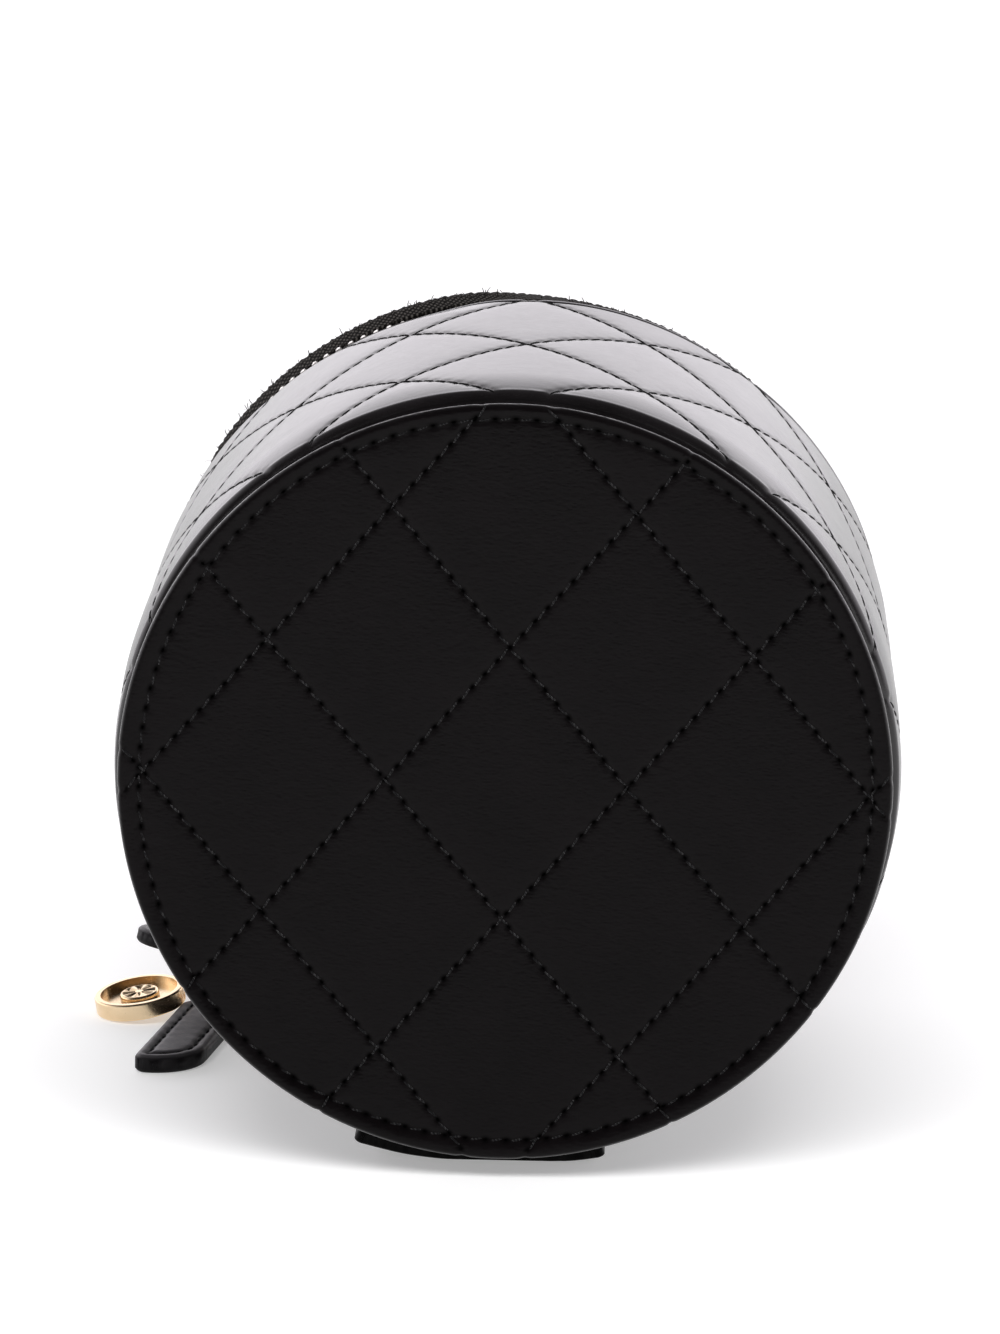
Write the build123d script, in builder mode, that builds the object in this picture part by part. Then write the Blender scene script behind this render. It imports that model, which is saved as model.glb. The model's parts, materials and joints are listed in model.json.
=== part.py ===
from build123d import *
import os
from math import cos, radians, sin, sqrt

# Round zip-around jewellery case in quilted leather, lying on its back.
# The case axis runs along Y: the quilted base faces -Y, the lid faces +Y, and the flat underside of the
# hinge strap rests on z = 0. All lengths are millimetres.
# Polar angles round the case axis start at the bottom and grow towards -X, over the top and down +X.

# ---------------------------------------------------------------- driving dimensions
WALL_R = 55.0           # outside of the quilted wall
AXIS_H = 57.0           # height of the case axis above the surface it rests on
BASE_Y = -45.0          # outer face of the base
BODY_DEPTH = 78.0       # base face to the leather edge at the zip
ZIP_W = 11.0            # strip of zip between the two leather edges
LID_DEPTH = 11.0        # leather edge of the lid to its outer face

PANEL_T = 3.0           # padded leather panels of base and lid
GROOVE_W = 1.6          # sunk seam between a panel and its wall
RIM_R = 53.8            # rim bead round the base
RIM_ROUND = 1.4
WELT_R = 52.2           # bottom of the sunk seam
SHELL_R = 51.0          # inside of the stiff board tube
SHELL_T = 1.5
LINING_T = 0.8
FLOOR_LINING_T = 1.5
SHOULDER_R = 2.2        # rounding of the wall beside the sunk seam

LID_EDGE_R = 53.0       # lid wall at the zip
LID_SHOULDER_OUT_R = 51.6
LID_RIM_R = 50.6
LID_WELT_R = 49.6
LID_SHELL_R = 48.6
LID_SHELL_T = 1.2
LID_LINING_T = 0.6
MIRROR_R = 38.0
MIRROR_T = 1.6
FRAME_W = 4.0           # leather ring round the mirror

TAPE_R = 53.2           # zip tape, inner radius
TAPE_T = 0.6
TEETH_R = 52.5
TEETH_T = 2.0
TEETH_W = 2.0           # one row of teeth along Y
TEETH_GAP = 1.4         # room for the slider's post between the rows
ZIP_START = 22.5        # polar angles of the body side of the zip
ZIP_END = 343.5
STOP_ARC = 1.8          # metal stop at each end of the body's row of teeth
STOP_GAP = 0.4
LID_ZIP_START = 35.0    # the lid side starts beyond the parked slider

STRAP_OUT_R = 57.7      # hinge strap, outer radius on the body
STRAP_LEFT = 21.0       # polar angles of the strap's two long edges
STRAP_RIGHT = -14.5
STRAP_NEAR_Y = -35.0
HINGE_GAP = 0.2         # half the slit where the strap folds
HINGE_IN_R = 53.7       # strap thickness at the fold
HINGE_OUT_R = 56.1

SLIDER_A = 28.0         # polar angle of the parked slider
SLIDER_L = 9.0
SLIDER_HW = 3.9
PLATE_T = 0.9
OUTER_PLATE_R = 55.15   # underside of the outer plate
INNER_PLATE_R = 51.0    # inner face of the inner plate
FLANGE_W = 0.8
FLANGE_DROP = 0.75
BRIDGE_HW = 1.4
BRIDGE_HL = 2.6
BRIDGE_WALL = 1.0
BRIDGE_TOP_R = 58.9
BRIDGE_WINDOW_R = 58.1
PIN_R = 0.5             # wire of the link between slider and puller
PIVOT_R = 57.1          # radius of the puller's pivot

PULL_RISE = 11.5        # degrees that the puller tab climbs away from the slider
PULL_TILT = 8.0         # degrees that it leans on its link, its edge towards the base higher
LINK_L = 6.2
LINK_HW = 3.2
PULLER_T = 2.4
PULLER_HW = 6.0
PULLER_LEN = 31.0
PULLER_NECK_HW = 2.4
NECK_START = 5.2
NECK_END = 7.4
SHOULDER_END = 10.5
PULLER_TIP_R = 5.4

RING_C = (-44.0, 45.0, 4.0)     # centre of the flat ring that carries charm and tab
RING_R = 4.0
RING_WIRE = 0.6
POST_R = 0.8
POST_A = -40.0          # where the post stands on the ring
POST_SETBACK = 0.2      # the post ends this far below its rivet
RIVET_R = 2.0
RIVET_T = 0.7
EYE_R = 2.2             # eyes of charm and tab, which hook over the ring
EYE_WIRE = 0.45

CHARM_R = 6.85
CHARM_T = 2.6
CHARM_RIM = 0.95
CHARM_SINK = 1.2
CHARM_C = (-56.6, 38.8)
CHARM_TILT = 10.0
BOSS_R = 3.0
BOSS_T = 1.0

TAB_TIP = (-50.8, 5.0)          # middle of the tab's free end
TAB_T = 2.8
TAB_HW = 4.7
TAB_ROOT = 6.3          # distances from the ring's centre along the tab
TAB_FULL = 10.0
TAB_ROOT_HW = 2.6
TAB_SQUARE_R = 1.8      # the two corners of the free end differ
TAB_ROUND_R = 7.5
CLIP_START = 4.2
CLIP_HW = 2.3
CLIP_BOTTOM = 0.3
CLIP_TOP = 2.6

DIVIDER_X = 28.0
DIVIDER_T = 2.0
DIVIDER_H = 18.0
ROLL_R = 6.5
ROLL_PITCH = 13.8
ROLL_COUNT = 5

# ---------------------------------------------------------------- worked out from them
EDGE_Y = BASE_Y + BODY_DEPTH
CHAIN_Y = EDGE_Y + ZIP_W / 2
LID_EDGE_Y = EDGE_Y + ZIP_W
LID_TOP_Y = LID_EDGE_Y + LID_DEPTH
SEAM_Y = BASE_Y + PANEL_T
WALL_Y = SEAM_Y + GROOVE_W
LID_SEAM_Y = LID_TOP_Y - PANEL_T
LID_WALL_Y = LID_SEAM_Y - GROOVE_W
INNER_R = SHELL_R - LINING_T
FLOOR_Y = WALL_Y + FLOOR_LINING_T
CASE_AXIS = Axis((0, 0, AXIS_H), (0, 1, 0))

os.makedirs("parts", exist_ok=True)


def save(piece, name):
    piece.part.label = name
    export_step(piece.part, f"parts/{name}.step")


def section_plane(angle):
    """Half-plane through the case axis at a polar angle: x is the radius, y is the world's Y."""
    a = radians(angle)
    return Plane(origin=(0, 0, AXIS_H), x_dir=(-sin(a), 0, -cos(a)), z_dir=(cos(a), 0, -sin(a)))


def wall_plane(angle, radius):
    """Plane touching a cylinder of the given radius: x runs round the case, y along Y, z outwards."""
    a = radians(angle)
    origin = (-radius * sin(a), CHAIN_Y, AXIS_H - radius * cos(a))
    return Plane(origin=origin, x_dir=(-cos(a), 0, sin(a)), z_dir=(-sin(a), 0, -cos(a)))


def band(r_in, r_out, y_low, y_high):
    """Rectangle of a turned ring, drawn on a section plane."""
    with Locations(((r_in + r_out) / 2, (y_low + y_high) / 2)):
        Rectangle(r_out - r_in, y_high - y_low)


def outline(points):
    """Closed straight-sided face from its corners."""
    Polygon(*points, align=None)


# ---------------------------------------------------------------- base
with BuildPart() as base_panel:
    with BuildSketch(section_plane(0)):
        band(0, RIM_R, BASE_Y, SEAM_Y)
    revolve(axis=CASE_AXIS)
    fillet(base_panel.edges().filter_by(GeomType.CIRCLE), radius=RIM_ROUND)
save(base_panel, "base_panel")

with BuildPart() as base_welt:
    with BuildSketch(section_plane(0)):
        band(SHELL_R, WELT_R, SEAM_Y, WALL_Y)
    revolve(axis=CASE_AXIS)
save(base_welt, "base_welt")

with BuildPart() as base_board:
    with BuildSketch(section_plane(0)):
        band(0, SHELL_R, SEAM_Y, WALL_Y)
    revolve(axis=CASE_AXIS)
save(base_board, "base_board")

with BuildPart() as base_lining:
    with BuildSketch(section_plane(0)):
        band(0, SHELL_R, WALL_Y, FLOOR_Y)
    revolve(axis=CASE_AXIS)
save(base_lining, "base_lining")

# ---------------------------------------------------------------- wall
with BuildPart() as wall_shell:
    with BuildSketch(section_plane(0)):
        band(SHELL_R, SHELL_R + SHELL_T, WALL_Y, EDGE_Y)
    revolve(axis=CASE_AXIS)
save(wall_shell, "wall_shell")

with BuildPart() as wall_leather:
    with BuildSketch(section_plane(0)) as wall_section:
        band(SHELL_R + SHELL_T, WALL_R, WALL_Y, EDGE_Y)
        outer_corners = wall_section.vertices().group_by(Axis.Y)
        fillet(outer_corners[0].sort_by(Axis.X)[-1], radius=SHOULDER_R)
    revolve(axis=CASE_AXIS)
save(wall_leather, "wall_leather")

with BuildPart() as wall_lining:
    with BuildSketch(section_plane(0)):
        band(INNER_R, SHELL_R, FLOOR_Y, EDGE_Y)
    revolve(axis=CASE_AXIS)
save(wall_lining, "wall_lining")

# ---------------------------------------------------------------- fittings inside the body
for side, name in ((-1, "divider_left"), (1, "divider_right")):
    chord = 2 * sqrt(INNER_R ** 2 - (DIVIDER_X + DIVIDER_T) ** 2) - 1
    with BuildPart() as divider:
        with BuildSketch(Plane(origin=(0, FLOOR_Y, AXIS_H), x_dir=(1, 0, 0), z_dir=(0, 1, 0))):
            with Locations((side * (DIVIDER_X + DIVIDER_T / 2), 0)):
                Rectangle(DIVIDER_T, chord)
        extrude(amount=DIVIDER_H)
        fillet(divider.faces().sort_by(Axis.Y)[-1].edges(), radius=0.8)
    save(divider, name)

for index in range(ROLL_COUNT):
    height = AXIS_H + (index - (ROLL_COUNT - 1) / 2) * ROLL_PITCH
    roll_plane = Plane(origin=(-DIVIDER_X + 0.5, FLOOR_Y + ROLL_R, height), z_dir=(1, 0, 0))
    with BuildPart() as ring_roll:
        with BuildSketch(roll_plane):
            Circle(ROLL_R)
        extrude(amount=2 * DIVIDER_X - 1)
        fillet(ring_roll.edges().filter_by(GeomType.CIRCLE), radius=1.5)
    save(ring_roll, f"ring_roll_{index + 1}")

# ---------------------------------------------------------------- zip, body side and lid side
TEETH_LOW_Y = CHAIN_Y - TEETH_GAP / 2 - TEETH_W
TEETH_HIGH_Y = CHAIN_Y + TEETH_GAP / 2 + TEETH_W

with BuildPart() as zip_tape_body:
    with BuildSketch(section_plane(ZIP_START)):
        band(TAPE_R, TAPE_R + TAPE_T, EDGE_Y, TEETH_LOW_Y)
    revolve(axis=CASE_AXIS, revolution_arc=ZIP_END - ZIP_START)
save(zip_tape_body, "zip_tape_body")

TEETH_START = ZIP_START + STOP_ARC + STOP_GAP
TEETH_END = ZIP_END - STOP_ARC - STOP_GAP
with BuildPart() as zip_teeth_body:
    with BuildSketch(section_plane(TEETH_START)):
        band(TEETH_R, TEETH_R + TEETH_T, TEETH_LOW_Y, TEETH_LOW_Y + TEETH_W)
    revolve(axis=CASE_AXIS, revolution_arc=TEETH_END - TEETH_START)
save(zip_teeth_body, "zip_teeth_body")

for angle, name in ((ZIP_START, "zip_stop_left"), (ZIP_END - STOP_ARC, "zip_stop_right")):
    with BuildPart() as zip_stop:
        with BuildSketch(section_plane(angle)):
            band(TEETH_R, TEETH_R + TEETH_T, TEETH_LOW_Y, TEETH_LOW_Y + TEETH_W)
        revolve(axis=CASE_AXIS, revolution_arc=STOP_ARC)
    save(zip_stop, name)

with BuildPart() as zip_tape_lid:
    with BuildSketch(section_plane(LID_ZIP_START)):
        band(TAPE_R, TAPE_R + TAPE_T, TEETH_HIGH_Y, LID_EDGE_Y)
    revolve(axis=CASE_AXIS, revolution_arc=ZIP_END - LID_ZIP_START)
save(zip_tape_lid, "zip_tape_lid")

with BuildPart() as zip_teeth_lid:
    with BuildSketch(section_plane(LID_ZIP_START)):
        band(TEETH_R, TEETH_R + TEETH_T, TEETH_HIGH_Y - TEETH_W, TEETH_HIGH_Y)
    revolve(axis=CASE_AXIS, revolution_arc=ZIP_END - LID_ZIP_START)
save(zip_teeth_lid, "zip_teeth_lid")

# ---------------------------------------------------------------- hinge strap, in two halves
with BuildPart() as hinge_strap_body:
    with BuildSketch(section_plane(STRAP_RIGHT)):
        outline([
            (WALL_R, STRAP_NEAR_Y),
            (STRAP_OUT_R, STRAP_NEAR_Y),
            (STRAP_OUT_R, EDGE_Y - 2),
            (HINGE_OUT_R, CHAIN_Y - HINGE_GAP),
            (HINGE_IN_R, CHAIN_Y - HINGE_GAP),
            (WALL_R, EDGE_Y),
        ])
    revolve(axis=CASE_AXIS, revolution_arc=STRAP_LEFT - STRAP_RIGHT)
    # the underside is pressed flat on z = 0
    with BuildSketch(Plane.XY):
        Rectangle(2 * STRAP_OUT_R, 2 * BODY_DEPTH)
    extrude(amount=AXIS_H / 2, mode=Mode.INTERSECT)
save(hinge_strap_body, "hinge_strap_body")

with BuildPart() as hinge_strap_lid:
    strap_t = HINGE_OUT_R - HINGE_IN_R
    with BuildSketch(section_plane(STRAP_RIGHT)):
        outline([
            (HINGE_IN_R, CHAIN_Y + HINGE_GAP),
            (HINGE_OUT_R, CHAIN_Y + HINGE_GAP),
            (LID_EDGE_R + strap_t, LID_EDGE_Y),
            (LID_SHOULDER_OUT_R + strap_t, LID_WALL_Y - 1),
            (LID_SHOULDER_OUT_R, LID_WALL_Y - 1),
            (LID_EDGE_R, LID_EDGE_Y),
        ])
    revolve(axis=CASE_AXIS, revolution_arc=STRAP_LEFT - STRAP_RIGHT)
save(hinge_strap_lid, "hinge_strap_lid")

# ---------------------------------------------------------------- lid
with BuildPart() as lid_wall:
    with BuildSketch(section_plane(0)) as lid_section:
        outline([
            (LID_SHELL_R + LID_SHELL_T, LID_EDGE_Y),
            (LID_EDGE_R, LID_EDGE_Y),
            (LID_SHOULDER_OUT_R, LID_WALL_Y - 1),
            (LID_SHOULDER_OUT_R - 1, LID_WALL_Y),
            (LID_SHELL_R + LID_SHELL_T, LID_WALL_Y),
        ])
    revolve(axis=CASE_AXIS)
save(lid_wall, "lid_wall")

with BuildPart() as lid_shell:
    with BuildSketch(section_plane(0)):
        band(LID_SHELL_R, LID_SHELL_R + LID_SHELL_T, LID_EDGE_Y, LID_WALL_Y)
    revolve(axis=CASE_AXIS)
save(lid_shell, "lid_shell")

with BuildPart() as lid_welt:
    with BuildSketch(section_plane(0)):
        band(LID_SHELL_R, LID_WELT_R, LID_WALL_Y, LID_SEAM_Y)
    revolve(axis=CASE_AXIS)
save(lid_welt, "lid_welt")

with BuildPart() as lid_board:
    with BuildSketch(section_plane(0)):
        band(0, LID_SHELL_R, LID_WALL_Y, LID_SEAM_Y)
    revolve(axis=CASE_AXIS)
save(lid_board, "lid_board")

with BuildPart() as lid_panel:
    with BuildSketch(section_plane(0)):
        band(0, LID_RIM_R, LID_SEAM_Y, LID_TOP_Y)
    revolve(axis=CASE_AXIS)
    fillet(lid_panel.edges().filter_by(GeomType.CIRCLE), radius=RIM_ROUND)
save(lid_panel, "lid_panel")

CEILING_Y = LID_WALL_Y - 1.0
with BuildPart() as lid_ceiling:
    with BuildSketch(section_plane(0)):
        band(0, LID_SHELL_R, CEILING_Y, LID_WALL_Y)
    revolve(axis=CASE_AXIS)
save(lid_ceiling, "lid_ceiling")

with BuildPart() as lid_lining:
    with BuildSketch(section_plane(0)):
        band(LID_SHELL_R - LID_LINING_T, LID_SHELL_R, LID_EDGE_Y, CEILING_Y)
    revolve(axis=CASE_AXIS)
save(lid_lining, "lid_lining")

with BuildPart() as lid_mirror:
    with BuildSketch(section_plane(0)):
        band(0, MIRROR_R, CEILING_Y - MIRROR_T, CEILING_Y)
    revolve(axis=CASE_AXIS)
save(lid_mirror, "lid_mirror")

with BuildPart() as mirror_frame:
    with BuildSketch(section_plane(0)):
        band(MIRROR_R, MIRROR_R + FRAME_W, CEILING_Y - MIRROR_T - 0.4, CEILING_Y)
    revolve(axis=CASE_AXIS)
save(mirror_frame, "mirror_frame")

# ---------------------------------------------------------------- zip slider
with BuildPart() as slider_body:
    for radius in (OUTER_PLATE_R, INNER_PLATE_R):
        with BuildSketch(wall_plane(SLIDER_A, radius)):
            RectangleRounded(SLIDER_L, 2 * SLIDER_HW, radius=2)
        extrude(amount=PLATE_T)
    with BuildSketch(wall_plane(SLIDER_A, OUTER_PLATE_R)):
        with GridLocations(0, 2 * SLIDER_HW - FLANGE_W, 1, 2):
            Rectangle(SLIDER_L - 4, FLANGE_W)
    extrude(amount=-FLANGE_DROP)
    with BuildSketch(wall_plane(SLIDER_A, INNER_PLATE_R)):
        with Locations((SLIDER_L / 2 - 1.4, 0)):
            Rectangle(1.8, 0.8)
    extrude(amount=OUTER_PLATE_R - INNER_PLATE_R + 0.1)
save(slider_body, "slider_body")

with BuildPart() as slider_bridge:
    plate_top = OUTER_PLATE_R + PLATE_T
    arch_plane = Plane(wall_plane(SLIDER_A, 0).origin, x_dir=wall_plane(SLIDER_A, 0).x_dir, z_dir=(0, -1, 0))
    with BuildSketch(arch_plane) as arch:
        with Locations((0, (plate_top + BRIDGE_TOP_R) / 2)):
            RectangleRounded(2 * BRIDGE_HL, BRIDGE_TOP_R - plate_top, radius=1.0)
        with Locations((0, plate_top + 0.5)):
            Rectangle(2 * BRIDGE_HL, 1.0)
        with Locations((0, (plate_top + BRIDGE_WINDOW_R) / 2)):
            Rectangle(2 * (BRIDGE_HL - BRIDGE_WALL), BRIDGE_WINDOW_R - plate_top, mode=Mode.SUBTRACT)
    extrude(amount=BRIDGE_HW, both=True)
save(slider_bridge, "slider_bridge")

# ---------------------------------------------------------------- puller: link, leather tab, ring
SIN_A = sin(radians(SLIDER_A))
COS_A = cos(radians(SLIDER_A))
PIVOT = (-PIVOT_R * SIN_A, CHAIN_Y, AXIS_H - PIVOT_R * COS_A)
RISE_SIN = sin(radians(PULL_RISE))
RISE_COS = cos(radians(PULL_RISE))
TILT_SIN = sin(radians(PULL_TILT))
TILT_COS = cos(radians(PULL_TILT))
PULL_NORMAL = Vector(RISE_SIN * TILT_COS, TILT_SIN, RISE_COS * TILT_COS)
PULL_PLANE = Plane(origin=PIVOT, x_dir=(-RISE_COS, 0, RISE_SIN), z_dir=PULL_NORMAL)

with BuildPart() as puller_link:
    with BuildLine(PULL_PLANE) as link_path:
        corners = [(0, -LINK_HW), (LINK_L, -LINK_HW), (LINK_L, LINK_HW), (0, LINK_HW)]
        FilletPolyline(*corners, radius=1.0, close=True)
    link_start = link_path.line @ 0
    with BuildSketch(Plane(origin=link_start, z_dir=link_path.line % 0)):
        Circle(PIN_R)
    sweep()
save(puller_link, "puller_link")

with BuildPart() as puller_tab:
    with BuildSketch(PULL_PLANE.offset(-PULLER_T / 2)) as puller_plan:
        outline([
            (NECK_START, -PULLER_NECK_HW),
            (NECK_END, -PULLER_NECK_HW),
            (SHOULDER_END, -PULLER_HW),
            (PULLER_LEN, -PULLER_HW),
            (PULLER_LEN, PULLER_HW),
            (SHOULDER_END, PULLER_HW),
            (NECK_END, PULLER_NECK_HW),
            (NECK_START, PULLER_NECK_HW),
        ])
        fillet(puller_plan.vertices().sort_by(Axis.X)[-2:], radius=PULLER_TIP_R)
    extrude(amount=PULLER_T)
    with BuildSketch(Plane(origin=PIVOT, x_dir=PULL_PLANE.x_dir, z_dir=PULL_PLANE.y_dir)):
        with Locations((LINK_L, 0)):
            Circle(PIN_R)
    extrude(amount=PULLER_HW, both=True, mode=Mode.SUBTRACT)
    post_x = RING_C[0] + RING_R * cos(radians(POST_A))
    post_y = RING_C[1] + RING_R * sin(radians(POST_A))
    with BuildSketch(Plane.XY):
        with Locations((post_x, post_y)):
            Circle(POST_R)
    extrude(amount=AXIS_H, mode=Mode.SUBTRACT)
save(puller_tab, "puller_tab")

post_reach = Vector(post_x - PIVOT[0], post_y - PIVOT[1], 0)
PULLER_TOP_Z = PIVOT[2] + (PULLER_T / 2 - PULL_NORMAL.dot(post_reach)) / PULL_NORMAL.Z
with BuildPart() as pull_ring:
    with Locations(RING_C):
        Torus(RING_R, RING_WIRE)
    with BuildSketch(Plane.XY.offset(RING_C[2] - RING_WIRE)):
        with Locations((post_x, post_y)):
            Circle(POST_R)
    extrude(amount=PULLER_TOP_Z - POST_SETBACK - RING_C[2] + RING_WIRE)
save(pull_ring, "pull_ring")

with BuildPart() as ring_rivet:
    with BuildSketch(Plane(origin=(post_x, post_y, PULLER_TOP_Z), x_dir=PULL_PLANE.x_dir, z_dir=PULL_PLANE.z_dir)):
        Circle(RIVET_R)
    extrude(amount=RIVET_T)
    fillet(ring_rivet.faces().sort_by(Axis.Z)[-1].edges(), radius=0.4)
save(ring_rivet, "ring_rivet")

# ---------------------------------------------------------------- round metal charm
to_ring = Vector(RING_C[0] - CHARM_C[0], RING_C[1] - CHARM_C[1], 0)
toward = to_ring.normalized()
tilt_sin = sin(radians(CHARM_TILT))
tilt_cos = cos(radians(CHARM_TILT))
charm_normal = Vector(0, 0, 1) * tilt_cos - toward * tilt_sin
charm_x = toward * tilt_cos + Vector(0, 0, 1) * tilt_sin
CHARM_PLANE = Plane(origin=(CHARM_C[0], CHARM_C[1], CHARM_R * tilt_sin), x_dir=charm_x, z_dir=charm_normal)
eye_at = Vector(*RING_C) - toward * RING_R

with BuildPart() as charm:
    with BuildSketch(CHARM_PLANE):
        Circle(CHARM_R)
    extrude(amount=CHARM_T)
    fillet(charm.edges().filter_by(GeomType.CIRCLE), radius=0.3)
    with BuildSketch(CHARM_PLANE.offset(CHARM_T)):
        Circle(CHARM_R - CHARM_RIM)
    extrude(amount=-CHARM_SINK, mode=Mode.SUBTRACT)
    with Locations(Plane(origin=eye_at, z_dir=toward.cross(Vector(0, 0, 1)))):
        Torus(EYE_R, EYE_WIRE)
    neck_from = CHARM_PLANE.from_local_coords(Vector(CHARM_R - 0.3, 0, CHARM_T / 2))
    neck_to = eye_at - toward * EYE_R
    with BuildSketch(Plane(origin=neck_from, z_dir=neck_to - neck_from)):
        Circle(EYE_WIRE)
    extrude(amount=(neck_to - neck_from).length)
save(charm, "charm")

with BuildPart() as charm_boss:
    with BuildSketch(CHARM_PLANE.offset(CHARM_T - CHARM_SINK)):
        Circle(BOSS_R)
    extrude(amount=BOSS_T)
    fillet(charm_boss.faces().sort_by(Axis.Z)[-1].edges(), radius=0.2)
save(charm_boss, "charm_boss")

# ---------------------------------------------------------------- long leather tab
along = Vector(TAB_TIP[0] - RING_C[0], TAB_TIP[1] - RING_C[1], 0)
TAB_LEN = along.length
TAB_PLANE = Plane(origin=(RING_C[0], RING_C[1], 0), x_dir=along, z_dir=(0, 0, 1))

with BuildPart() as pull_tab:
    with BuildSketch(TAB_PLANE):
        with BuildLine():
            Line((TAB_ROOT, TAB_ROOT_HW), (TAB_ROOT, -TAB_ROOT_HW))
            Line((TAB_ROOT, -TAB_ROOT_HW), (TAB_FULL, -TAB_HW))
            FilletPolyline(
                (TAB_FULL, -TAB_HW),
                (TAB_LEN, -TAB_HW),
                (TAB_LEN, TAB_HW),
                (TAB_FULL, TAB_HW),
                radius=(TAB_SQUARE_R, TAB_ROUND_R),
            )
            Line((TAB_FULL, TAB_HW), (TAB_ROOT, TAB_ROOT_HW))
        make_face()
    extrude(amount=TAB_T)
save(pull_tab, "pull_tab")

with BuildPart() as tab_clip:
    with BuildSketch(TAB_PLANE.offset(CLIP_BOTTOM)):
        with Locations(((CLIP_START + TAB_ROOT) / 2, 0)):
            Rectangle(TAB_ROOT - CLIP_START, 2 * CLIP_HW)
    extrude(amount=CLIP_TOP - CLIP_BOTTOM)
    along_unit = along.normalized()
    tab_eye = Vector(*RING_C) + along_unit * RING_R
    with Locations(Plane(origin=tab_eye, z_dir=along_unit.cross(Vector(0, 0, 1)))):
        Torus(EYE_R, EYE_WIRE)
save(tab_clip, "tab_clip")
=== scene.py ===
import json
from math import cos, degrees, hypot, pi, radians, sin, tau

import bmesh
import bpy
import numpy as np
from mathutils import Matrix, Vector


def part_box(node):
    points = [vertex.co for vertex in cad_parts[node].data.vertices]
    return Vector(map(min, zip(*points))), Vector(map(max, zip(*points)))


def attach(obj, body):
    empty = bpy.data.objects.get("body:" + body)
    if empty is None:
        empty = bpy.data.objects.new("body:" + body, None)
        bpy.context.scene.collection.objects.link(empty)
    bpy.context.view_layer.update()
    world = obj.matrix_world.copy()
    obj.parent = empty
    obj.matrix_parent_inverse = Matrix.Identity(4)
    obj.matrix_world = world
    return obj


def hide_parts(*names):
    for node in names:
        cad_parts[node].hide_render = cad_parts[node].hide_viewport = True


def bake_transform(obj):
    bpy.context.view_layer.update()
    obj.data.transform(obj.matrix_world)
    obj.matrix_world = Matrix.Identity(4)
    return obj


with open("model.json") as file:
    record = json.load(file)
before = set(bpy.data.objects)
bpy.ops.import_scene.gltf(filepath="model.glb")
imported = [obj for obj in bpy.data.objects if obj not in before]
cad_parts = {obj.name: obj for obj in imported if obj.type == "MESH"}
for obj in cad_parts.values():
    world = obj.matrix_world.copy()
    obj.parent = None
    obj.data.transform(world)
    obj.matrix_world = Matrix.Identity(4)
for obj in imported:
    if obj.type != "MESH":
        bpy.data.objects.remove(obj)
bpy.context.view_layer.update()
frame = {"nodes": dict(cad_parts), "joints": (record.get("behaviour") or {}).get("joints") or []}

# Quilted leather jewellery case, lying on its back. Lengths are millimetres, and the mesh builder turns
# them into metres. Polar angles are degrees round the case axis, from the bottom towards -X.
MM = 0.001


# ---- sizes read from the frame
def corners(name):
    low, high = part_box(name)
    return np.array(low) / MM, np.array(high) / MM


def joint_place(name):
    return next(np.array(j["pos_m"]) / MM for j in frame["joints"] if j["name"] == name)


WALL_LOW, WALL_HIGH = corners("wall_leather")
WALL_R = (WALL_HIGH[0] - WALL_LOW[0]) / 2
AXIS_H = (WALL_HIGH[2] + WALL_LOW[2]) / 2
EDGE_Y = WALL_HIGH[1]
WALL_Y = WALL_LOW[1]
BASE_Y = corners("base_panel")[0][1]
SEAM_Y = corners("base_panel")[1][1]
RIM_R = corners("base_panel")[1][0]
SHELL_OUT_R = corners("wall_shell")[1][0]
LID_LOW, LID_HIGH = corners("lid_wall")
LID_EDGE_Y = LID_LOW[1]
LID_WALL_Y = LID_HIGH[1]
LID_R = LID_HIGH[0]
LID_SHELL_R = corners("lid_shell")[1][0]
LID_SEAM_Y = corners("lid_panel")[0][1]
LID_TOP_Y = corners("lid_panel")[1][1]
LID_RIM_R = corners("lid_panel")[1][0]
CHAIN_Y = (EDGE_Y + LID_EDGE_Y) / 2
PIVOT = joint_place("puller_swing")
RING_C = joint_place("tab_swing")

# ---- leather, seams and stitches
STITCH = 2.84           # from one needle hole to the next, round a rim
QUILT_STITCH = 2.6      # and along the quilting
THREAD_R = 0.13         # stitches of the panels: radius and length
THREAD_L = 1.9
WALL_THREAD_R = 0.11    # and of the walls
WALL_THREAD_L = 2.5
HOLE_R = 0.46           # needle hole
HOLE_DEPTH = 0.13
SLIT_L, SLIT_W = 0.55, 0.25  # needle slit
SEAM_HW = 0.45          # a seam's channel: half width and depth
SEAM_DEPTH = 0.13
PILLOW = 0.24           # padding between the seams, and how near a seam it sinks
PILLOW_REACH = 2.6
PUCKER = 0.035          # wrinkles beside a seam
PUCKER_REACH = 1.1
DISC_W = 33.5           # diamonds on the flat panels
DISC_H = 38.5
DISC_TURN = radians(-1.0)
WALL_COLUMNS = 10       # diamonds round the wall
CROSSING_A = 181.3      # polar angle of a column of crossings that starts at the zip edge
PANEL_SINK = 0.24       # seams of a panel lie this far below its crown
RIM_STITCH_IN = 2.85    # rim stitch circle inside the rim
RIM_ROUND = 0.95        # radius of the rolled rim
RIM_BEND = radians(128) # the leather rolls this far round it
RIM_TUCK = 2.6          # and is tucked in behind, this far inside the rim
BEAD_RISE = 0.3         # the rolled rim stands this far over the field's crown
BEAD_DENT = 0.16        # where a seam crosses it
SHOULDER_R = 1.3        # rounding of the wall at the base seam
SAG, SAG_RUN = 0.55, 9.0     # the wall sinks gently towards the base seam
EDGE_ROUND = 0.9        # turned leather edge beside the zip
EDGE_STITCH_IN = 1.9    # row of stitches beside that edge
QUILT_START_IN = 0.8    # the quilting's stitches begin this far from the base seam
QUILT_END_IN = 2.4      # and end this far from the edge beside the zip
LIE = 0.6               # share of the padding that lies under the nominal surface of a wall
DIP = 1.1               # the zip pulls the wall's edge in on the left
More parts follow.
